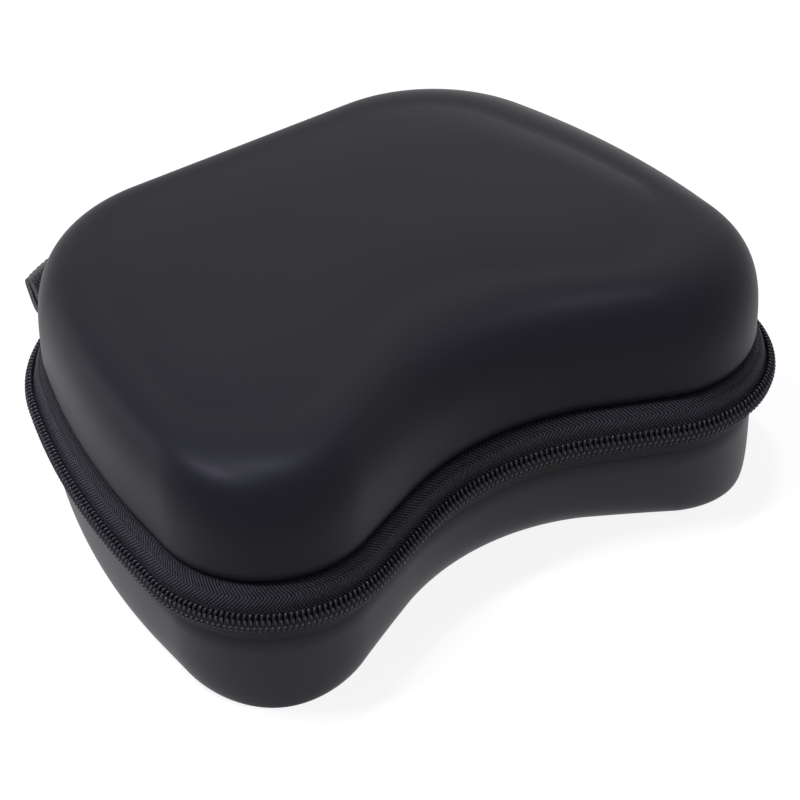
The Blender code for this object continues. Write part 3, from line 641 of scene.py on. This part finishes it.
def strap():
    """Doubled webbing out of the lid's seam. It sags over the tape, turns up and folds back on itself."""
    lower = [(-0.0051, 0.0090), (-0.0042, 0.0089), (-0.0026, 0.0075), (-0.0008, 0.0057), (0.0009, 0.0053),
             (0.0021, 0.0068), (0.0029, 0.0095), (0.0036, 0.0126), (0.0040, 0.0146)]
    fold = [(0.0040, 0.0156), (0.0032, 0.0160)]
    upper = [(0.0025, 0.0149), (0.0021, 0.0135), (0.0013, 0.0108), (0.0005, 0.0084), (-0.0003, 0.0073),
             (-0.0013, 0.0078), (-0.0028, 0.0095), (-0.0042, 0.0107), (-0.0051, 0.0108)]
    line = smooth_line(lower + fold + upper, 110)
    first, last = STRAP_AT - STRAP_WIDTH / 2, STRAP_AT + STRAP_WIDTH / 2
    distances = np.linspace(first, last, 190)

    def cords(s, run):
        cord = (s - first) / CORD_PITCH
        beat = np.sin(np.pi * (run / WEFT_PITCH + np.floor(cord) / 2)) ** 2
        return CORD_HEIGHT * (np.abs(np.sin(np.pi * cord)) ** 0.6 - 0.6) + WEFT_HEIGHT * beat

    made = strip("hand_strap", ribbon(line, STRAP - CORD_HEIGHT), distances, WEBBING, cords)
    settle(made, "lid", ["strap_loop"])


# Inside

def side_x(inset, y):
    """Half the width between the walls at y, for a wall that lies inset inside the zip line."""
    spots, outward = on_zip(np.linspace(ZIP_LENGTH / 2, ZIP_LENGTH, 1200))
    walls = spots - outward * inset
    crossed = [0.0]
    for a, b in zip(walls, walls[1:]):
        if min(a.imag, b.imag) <= y <= max(a.imag, b.imag) and a.imag != b.imag:
            crossed.append(a.real + (b.real - a.real) * (y - a.imag) / (b.imag - a.imag))
    return max(crossed)


def flat_band(name, front, back, inset, middle_z, thickness, ribbing):
    """Ribbed elastic across the case, its ends cut to the walls."""
    across = np.linspace(front, back, int((back - front) / 0.00022))
    along = np.linspace(-1.0, 1.0, 90)
    half = np.array([side_x(inset, y) for y in across])
    pitch, height = ribbing
    ribs = height * (np.abs(np.sin(np.pi * (across - front) / pitch)) ** 0.6 - 1)
    edge = np.minimum(across - front, back - across)
    round_off = (thickness / 2) * (1 - np.sqrt(np.clip(1 - (1 - np.clip(edge / (thickness / 2), 0, 1)) ** 2, 0, 1)))
    rise = np.maximum(thickness / 2 + ribs - round_off, 0.00003)
    rows = []
    for share in along:
        gather = 0.00008 * math.sin(share * 260)
        top = np.stack([half * share, across, middle_z + rise + gather], axis=-1)
        bottom = np.stack([half * share, across, middle_z - rise + gather], axis=-1)[::-1]
        rows.append(np.concatenate([top, bottom]))
    verts = np.array(rows)
    columns = verts.shape[1]
    last = (len(along) - 1) * columns
    faces = grid_faces(len(along), columns) + [list(range(columns)), list(range(last, last + columns))]
    return piece(name, verts, faces, ELASTIC, sharp=80.0)


def inside():
    low = ZIP_Z + LID_RIM - BINDING_LAP + BINDING_RISE + GAP
    inset = LID_IN + WALL + SIDE_CLEAR
    hem_front = POCKET_MOUTH - GAP - HEM_WIDTH
    hem = flat_band("pocket_elastic", hem_front, hem_front + HEM_WIDTH, inset, low + HEM / 2, HEM, HEM_RIBS)
    settle(hem, "lid", ["pocket_hem"])
    band = flat_band("controller_band", BAND_Y - BAND_WIDTH / 2, BAND_Y + BAND_WIDTH / 2,
                     BASE_IN + WALL + GAP + BINDING + SIDE_CLEAR,
                     BASE_RIM_Z + BINDING_LAP - BINDING_RISE / 2, BAND, BAND_RIBS)
    settle(band, "base", ["holding_band"])
    2 * side_x(0.0, BAND_Y) - BAND_SHORT
    net = pocket_net(inset, low)
    settle(net, "lid", ["mesh_pocket"])
    width, depth = 2 * side_x(inset, POCKET_MOUTH), ZIP_PLAN[0][0].imag - inset - POCKET_MOUTH


def pocket_net(inset, low):
    """A stretched net of six-sided cells, with a turned edge along the walls."""
    spots, outward = on_zip(np.linspace(-0.30 * ZIP_LENGTH, 0.30 * ZIP_LENGTH, 1500))
    walls = spots - outward * (inset + NET_THREAD)
    side = side_x(inset + NET_THREAD, POCKET_MOUTH)
    back = walls[walls.imag > POCKET_MOUTH]
    edge = np.concatenate([[complex(side, POCKET_MOUTH)], back, [complex(-side, POCKET_MOUTH)]])
    net = bmesh.new()
    corner = NET_CELL / math.sqrt(3)
    known = {}
    after = np.roll(edge, -1)
    slope = (after.real - edge.real) / np.where(after.imag == edge.imag, 1.0, after.imag - edge.imag)

    def inside_edge(p):
        crosses = (edge.imag > p.imag) != (after.imag > p.imag)
        return np.sum(crosses & (edge.real + slope * (p.imag - edge.imag) > p.real)) % 2 == 1

    def knot(p):
        key = (round(p.real * 1e5), round(p.imag * 1e5))
        if key not in known:
            sag = NET_SAG * math.cos(p.real * 34) * math.sin((p.imag - POCKET_MOUTH) * 50)
            known[key] = net.verts.new((p.real, p.imag, low + NET_BORDER[1] / 2 - max(sag, 0.0)))
        return known[key]

    columns = int(NET_FIELD[0] / NET_CELL)
    for row in range(int(NET_FIELD[1] / (1.5 * corner)) + 1):
        for column in range(-columns // 2, columns // 2 + 1):
            centre = complex((column + row % 2 / 2) * NET_CELL, POCKET_MOUTH + (row * 1.5 + 0.5) * corner)
            spokes = [centre + corner * 1j * np.exp(1j * math.pi / 3 * k) for k in range(6)]
            if all(inside_edge(p) for p in spokes):
                net.faces.new([knot(p) for p in spokes])
    bmesh.ops.wireframe(net, faces=net.faces, thickness=NET_THREAD, offset=0.0, use_replace=True,
                        use_boundary=True, use_even_offset=True)
    verts = [tuple(v.co) for v in net.verts]
    faces = [[v.index for v in face.verts] for face in net.faces]
    net.free()
    count = len(verts)
    high = low + NET_BORDER[1]
    inwards = complex(0.0, POCKET_MOUTH + 0.03) - edge
    inner = edge + inwards / np.abs(inwards) * NET_BORDER[0]
    rings = [np.stack([flat.real, flat.imag, np.full(flat.shape, z)], axis=-1)
             for flat, z in ((edge, low), (edge, high), (inner, high), (inner, low))]
    verts += np.concatenate(rings).tolist()
    index = count + np.arange(4 * len(edge)).reshape(4, -1)
    for a, b in zip(index, np.roll(index, -1, axis=0)):
        faces += np.stack([a, np.roll(a, -1), np.roll(b, -1), b], axis=-1).tolist()
    return piece("pocket_net", verts, faces, NET)


# Stitches

def new_tree(name, sizes):
    """A Geometry Nodes tree that takes a path, named sizes and a material. Gives its input node's outputs too."""
    tree = bpy.data.node_groups.new(name, "GeometryNodeTree")
    sockets = [("Path", "Geometry", None)]
    sockets += [(key, "Int" if isinstance(value, int) else "Float", value) for key, value in sizes.items()]
    for key, kind, value in sockets + [("Material", "Material", None)]:
        socket = tree.interface.new_socket(key, in_out="INPUT", socket_type="NodeSocket" + kind)
        if value is not None:
            socket.default_value = value
    tree.interface.new_socket("Piece", in_out="OUTPUT", socket_type="NodeSocketGeometry")
    return tree, add(tree, "NodeGroupInput").outputs


def end_tree(tree, shape, material):
    """Ends a tree in smooth, real faces of one material."""
    smooth = add(tree, "GeometryNodeSetShadeSmooth", {"Geometry": shape})
    real = add(tree, "GeometryNodeRealizeInstances", {"Geometry": smooth})
    done = add(tree, "GeometryNodeSetMaterial", {"Geometry": real, "Material": material})
    add(tree, "NodeGroupOutput", [done])
    return tree


def stitch_tree():
    """Lays stitches of thread along a path, each dipping into the cloth at its ends."""
    tree, given = new_tree("stitches", {"Pitch": STITCH_PITCH, "Length": STITCH_LENGTH, "Thread": THREAD_RADIUS})
    spots = add(tree, "GeometryNodeCurveToPoints", {"Curve": given["Path"], "Length": given["Pitch"]},
                mode="LENGTH").outputs
    half = add(tree, MATH, [given["Length"], 0.5], operation="MULTIPLY")
    back = add(tree, MATH, [half, -1.0], operation="MULTIPLY")
    lift = add(tree, MATH, [given["Thread"], 0.9], operation="MULTIPLY")
    ends = [add(tree, "ShaderNodeCombineXYZ", [x, y]) for x, y in ((0.0, back), (lift, 0.0), (0.0, half))]
    arch = add(tree, "GeometryNodeCurveQuadraticBezier", {"Resolution": 4, "Start": ends[0], "Middle": ends[1],
                                                          "End": ends[2]})
    ring = add(tree, "GeometryNodeCurvePrimitiveCircle", {"Resolution": 6, "Radius": given["Thread"]})
    tube = add(tree, "GeometryNodeCurveToMesh", {"Curve": arch, "Profile Curve": ring, "Fill Caps": True})
    turn = add(tree, "FunctionNodeAxesToRotation", {"Primary Axis": spots["Normal"],
                                                    "Secondary Axis": spots["Tangent"]},
               primary_axis="X", secondary_axis="Y")
    laid = add(tree, "GeometryNodeInstanceOnPoints", {"Points": spots["Points"], "Instance": tube,
                                                      "Rotation": turn})
    return end_tree(tree, laid, given["Material"])


def stitches():
    tree = stitch_tree()
    rows = [("lid", "binding_ribbon", -(LID_IN + WALL + GAP + BINDING), LID_RIM - BINDING_LAP + STITCH_RISE),
            ("base", "binding_ribbon", -(BASE_IN + WALL + GAP + BINDING), -BASE_RIM + BINDING_LAP - STITCH_RISE)]
    for body, slot, out, up in rows:
        path = zip_path(body + "_ribbon_stitch", 0.001, ZIP_LENGTH - 0.001, out - 0.00002, up)
        made = grown(path, tree, Material=THREAD)
        made.name = body + "_ribbon_stitches"
        settle(made, body)


# The coil, by Geometry Nodes

def coil_tree():
    """Winds a filament along a path: a flattened helix whose front legs lie on the chain's face and whose heads
    reach over the middle plane."""
    tree, given = new_tree("wound coil", {
        "Turns": 294, "Steps": 20, "Pitch": COIL_PITCH, "Shift": 0.0, "Side": 1.0, "Head": -0.0007,
        "Bend": COIL_RISE, "Front": COIL_FRONT, "Back": COIL_BACK, "Radius": COIL_WIRE, "Tilt": LID_TILT})
    count = add(tree, MATH, [given["Turns"], given["Steps"], 1.0], operation="MULTIPLY_ADD")
    line = add(tree, "GeometryNodeMeshLine", {"Count": count})
    turn = add(tree, MATH, [add(tree, "GeometryNodeInputIndex"), given["Steps"]], operation="DIVIDE")
    run = add(tree, MATH, [turn, given["Pitch"], given["Shift"]], operation="MULTIPLY_ADD")
    at = add(tree, "GeometryNodeSampleCurve", {"Curves": given["Path"], "Length": run}, mode="LENGTH").outputs
    outward = add(tree, "ShaderNodeVectorMath", [at["Tangent"], (0.0, 0.0, 1.0)], operation="CROSS_PRODUCT")

    # Place on the helix: level runs from the bends, 1, to the heads, -1, and depth from front to back
    angle = add(tree, MATH, [turn, 2 * math.pi], operation="MULTIPLY")
    level, depth = (add(tree, MATH, [angle], operation=kind) for kind in ("COSINE", "SINE"))
    size = add(tree, MATH, [level], operation="ABSOLUTE")
    size = add(tree, MATH, [size, 0.65], operation="POWER")
    square = add(tree, MATH, [level], operation="SIGN")
    square = add(tree, MATH, [square, size], operation="MULTIPLY")
    reach, behind = (add(tree, "ShaderNodeMapRange", {"Value": value, "From Min": -1.0, "From Max": 1.0,
                                                      "To Min": given[low], "To Max": given[high]})
                     for value, low, high in ((square, "Head", "Bend"), (depth, "Front", "Back")))

    # That place in the section, leant by the tilt, and from there to the path
    lean, stand = (add(tree, MATH, [given["Tilt"]], operation=kind) for kind in ("SINE", "COSINE"))
    inwards = add(tree, MATH, [behind, stand], operation="MULTIPLY")
    inwards = add(tree, MATH, [reach, lean, inwards], operation="MULTIPLY_ADD")
    dip = add(tree, MATH, [behind, lean], operation="MULTIPLY")
    upwards = add(tree, MATH, [reach, stand], operation="MULTIPLY")
    upwards = add(tree, MATH, [upwards, dip], operation="SUBTRACT")
    upwards = add(tree, MATH, [upwards, given["Side"]], operation="MULTIPLY")
    shift = add(tree, "ShaderNodeVectorMath", {0: outward, "Scale": inwards}, operation="SCALE")
    spot = add(tree, "ShaderNodeVectorMath", [at["Position"], shift], operation="SUBTRACT")
    rise = add(tree, "ShaderNodeCombineXYZ", {"Z": upwards})
    spot = add(tree, "ShaderNodeVectorMath", [spot, rise], operation="ADD")
    placed = add(tree, "GeometryNodeSetPosition", {"Geometry": line, "Position": spot})

    sewn = add(tree, "ShaderNodeMapRange", {"Value": size, "From Min": 0.62, "From Max": 0.90, "To Min": 1.0,
                                            "To Max": 0.0})
    marked = add(tree, "GeometryNodeStoreNamedAttribute", {"Geometry": placed, "Name": "sewn over", "Value": sewn},
                 data_type="FLOAT", domain="POINT")
    strand = add(tree, "GeometryNodeMeshToCurve", {"Mesh": marked})
    head = add(tree, MATH, [level, -1.0], operation="MULTIPLY")
    head = add(tree, MATH, [head, 0.0], operation="MAXIMUM")
    head = add(tree, MATH, [head, 2.0], operation="POWER")
    swell = add(tree, MATH, [head, 0.40, 1.0], operation="MULTIPLY_ADD")
    sized = add(tree, "GeometryNodeSetCurveRadius", {"Curve": strand, "Radius": swell})
    ring = add(tree, "GeometryNodeCurvePrimitiveCircle", {"Resolution": 8, "Radius": given["Radius"]})
    tube = add(tree, "GeometryNodeCurveToMesh", {"Curve": sized, "Profile Curve": ring, "Fill Caps": True,
                                                 "Scale": swell})
    return end_tree(tree, tube, given["Material"])


def zip_path(name, first, last, out=0.0, up=0.0, step=0.0005):
    """A curve object along the zip line, at a place in its section."""
    spots, outward = on_zip(np.linspace(first, last, int((last - first) / step)))
    flat = spots + outward * out
    curve = bpy.data.curves.new(name, "CURVE")
    curve.dimensions = "3D"
    spline = curve.splines.new("POLY")
    spline.points.add(len(flat) - 1)
    points = np.stack([flat.real, flat.imag, np.full(flat.shape, ZIP_Z + up), np.ones(flat.shape)], axis=-1)
    spline.points.foreach_set("co", points.ravel())
    return new_object(name, curve)


def grown(obj, tree, **inputs):
    """The plain mesh that a tree makes from a curve object, which is removed."""
    modifier = obj.modifiers.new("grow", "NODES")
    modifier.node_group = tree
    for item in tree.interface.items_tree:
        key = item.name.replace(" ", "_")
        if item.in_out == "INPUT" and key in inputs:
            modifier[item.identifier] = inputs[key]
    evaluated = obj.evaluated_get(bpy.context.evaluated_depsgraph_get())
    made = new_object(obj.name + "_wound", bpy.data.meshes.new_from_object(evaluated))
    bpy.data.objects.remove(obj)
    return made


def coils():
    tree = coil_tree()
    turns = int((COIL_LAST - COIL_FIRST) / COIL_PITCH)
    pitch = (COIL_LAST - COIL_FIRST) / turns
    for body, side, shift, tilt in (("lid", 1.0, 0.0, LID_TILT), ("base", -1.0, pitch / 2, BASE_TILT)):
        path = zip_path(body + "_coil_path", COIL_FIRST, COIL_LAST + pitch)
        made = grown(path, tree, Turns=turns - 1, Pitch=pitch, Side=side, Shift=shift, Tilt=tilt,
                     Bend=COIL_RISE / math.cos(tilt) - COIL_WIRE, Material=COIL_NYLON)
        made.name = body + "_coil"
        settle(made, body, [body + "_zip_coil"])


# Cast and pressed metal: the solid's own shape with its edges rounded

def metal_piece(node, body, edge):
    """A merged copy of a node's solid, its edges rounded."""
    source = frame["nodes"][node]
    merged = bmesh.new()
    merged.from_mesh(source.data)
    bmesh.ops.remove_doubles(merged, verts=merged.verts, dist=1e-6)
    bmesh.ops.dissolve_limit(merged, angle_limit=math.radians(1.0), verts=merged.verts, edges=merged.edges)
    bmesh.ops.recalc_face_normals(merged, faces=merged.faces)
    mesh = bpy.data.meshes.new(node + "_cast")
    merged.to_mesh(mesh)
    merged.free()
    mesh.materials.append(ZINC)
    rough = new_object(node + "_rough", mesh)
    bevel = rough.modifiers.new("edges", "BEVEL")
    bevel.width, bevel.segments, bevel.limit_method = edge, 3, "ANGLE"
    bevel.angle_limit = math.radians(35)
    shaped = bpy.data.meshes.new_from_object(rough.evaluated_get(bpy.context.evaluated_depsgraph_get()))
    made = new_object(node + "_cast", shaped)
    bpy.data.objects.remove(rough)
    made.data.shade_smooth()
    made.data.set_sharp_from_angle(angle=math.radians(50))
    return settle(made, body, [node])


def metal():
    metal_piece("slider_body", "slider", SLIDER_EDGE)
    metal_piece("slider_pull", "pull", PULL_EDGE)
    for body in ("lid", "base"):
        for side in ("left", "right"):
            metal_piece(f"{body}_stop_{side}", body, STOP_EDGE)


# Stage, light and camera

def background_rays(tree):
    """1 for the rays that see the background as white: the camera's, and those that gloss and glass send on."""
    path = add(tree, "ShaderNodeLightPath").outputs
    either = add(tree, MATH, [path["Is Camera Ray"], path["Is Glossy Ray"]], operation="MAXIMUM")
    return add(tree, MATH, [either, path["Is Transmission Ray"]], operation="MAXIMUM")


def stage():
    """A floor and a world that are white to look at and give the case a plain, pale light."""
    reach, under, white = 1.6, -0.0002, (1.0, 1.0, 1.0, 1.0)
    mesh = bpy.data.meshes.new("floor")
    mesh.from_pydata([(-reach, -reach, 0), (reach, -reach, 0), (reach, reach, 0), (-reach, reach, 0)], [],
                     [(0, 1, 2, 3)])
    floor = new_object("floor", mesh)
    floor.location.z = under
    made, tree, shader = new_material("white paper floor")
    fill(shader, {"Base Color": linear("#c8c9d2"), "Roughness": 0.9, "Emission Color": linear("#f3f4ff"),
                  "Emission Strength": 0.35})
    glow = add(tree, "ShaderNodeEmission", {"Color": white, "Strength": 1.13})
    paper = add(tree, "ShaderNodeBsdfDiffuse", {"Color": white})
    seen = add(tree, "ShaderNodeMixShader", [SHADOW_SHARE, glow, paper])
    fill(tree.nodes["Material Output"], {0: add(tree, "ShaderNodeMixShader", [background_rays(tree), shader, seen])})
    mesh.materials.append(made)
    world = bpy.data.worlds.new("studio")
    bpy.context.scene.world = world
    world.use_nodes = True
    tree = world.node_tree
    way = add(tree, "ShaderNodeTexCoord").outputs["Generated"]
    back = add(tree, "ShaderNodeVectorMath", [way, (0.50, 0.74, 0.45)], operation="DOT_PRODUCT")
    level = add(tree, "ShaderNodeMapRange", {"Value": back, "From Min": -0.35, "From Max": 0.95, "To Min": 0.20,
                                             "To Max": 0.36}, interpolation_type="SMOOTHSTEP")
    dome = add(tree, "ShaderNodeBackground", {"Color": linear("#eae8ff"), "Strength": level})
    paper = add(tree, "ShaderNodeBackground", {"Color": white, "Strength": 1.0})
    fill(tree.nodes["World Output"], {0: add(tree, "ShaderNodeMixShader", [background_rays(tree), dome, paper])})


def softbox(name, azimuth, elevation, distance, size, power, colour):
    """A square area lamp that looks at the case from an azimuth, 0 being the front."""
    lamp = bpy.data.lights.new(name, "AREA")
    lamp.shape, lamp.size, lamp.energy, lamp.color = "SQUARE", size, power, linear(colour)[:3]
    turn, lift = math.radians(azimuth), math.radians(elevation)
    way = Vector((math.sin(turn) * math.cos(lift), -math.cos(turn) * math.cos(lift), math.sin(lift)))
    obj = new_object(name, lamp)
    obj.location = Vector((0.0, 0.0, ZIP_Z)) + way * distance
    obj.rotation_euler = way.to_track_quat("Z", "Y").to_euler()


def camera():
    """The photo's view, as found by fitting the case's outline to it."""
    azimuth, elevation, roll_angle = (math.radians(a) for a in (-33.89, 38.49, 1.46))
    aim, distance, focal_px, width_px = Vector((-0.0036, -0.01035, ZIP_Z)), 0.7072, 2713.3, 800
    forward = Vector((-math.sin(azimuth) * math.cos(elevation), math.cos(azimuth) * math.cos(elevation),
                      -math.sin(elevation)))
    right = Vector((math.cos(azimuth), math.sin(azimuth), 0.0))
    down = forward.cross(right)
    right, down = (right * math.cos(roll_angle) + down * math.sin(roll_angle),
                   down * math.cos(roll_angle) - right * math.sin(roll_angle))
    data = bpy.data.cameras.new("photo view")
    data.sensor_width = 36.0
    data.lens = focal_px / width_px * data.sensor_width
    obj = new_object("photo view", data)
    obj.matrix_world = Matrix.Translation(aim - forward * distance) @ Matrix(
        (right, -down, -forward)).transposed().to_4x4()
    bpy.context.scene.camera = obj


camera()
shells()
tapes()
coils()
hinge()
bindings()
strap()
inside()
stitches()
metal()
stage()
for lamp_row in (("back softbox", 160.0, 52.0, 1.3, 0.8, 0.5, "#f8f9ff"),
                 ("left softbox", -134.0, 14.0, 1.2, 0.6, 1.9, "#f6f4ff"),
                 ("right softbox", 134.0, 10.0, 1.2, 0.6, 1.0, "#fffaf4"),
                 ("shoulder lamp", -102.0, 65.0, 1.2, 0.22, 8.0, "#f2f1ff"),
                 ("zip lamp", 150.0, 84.0, 1.2, 0.14, 4.2, "#fafaff")):
    softbox(*lamp_row)
bpy.context.scene.view_settings.view_transform = "Standard"
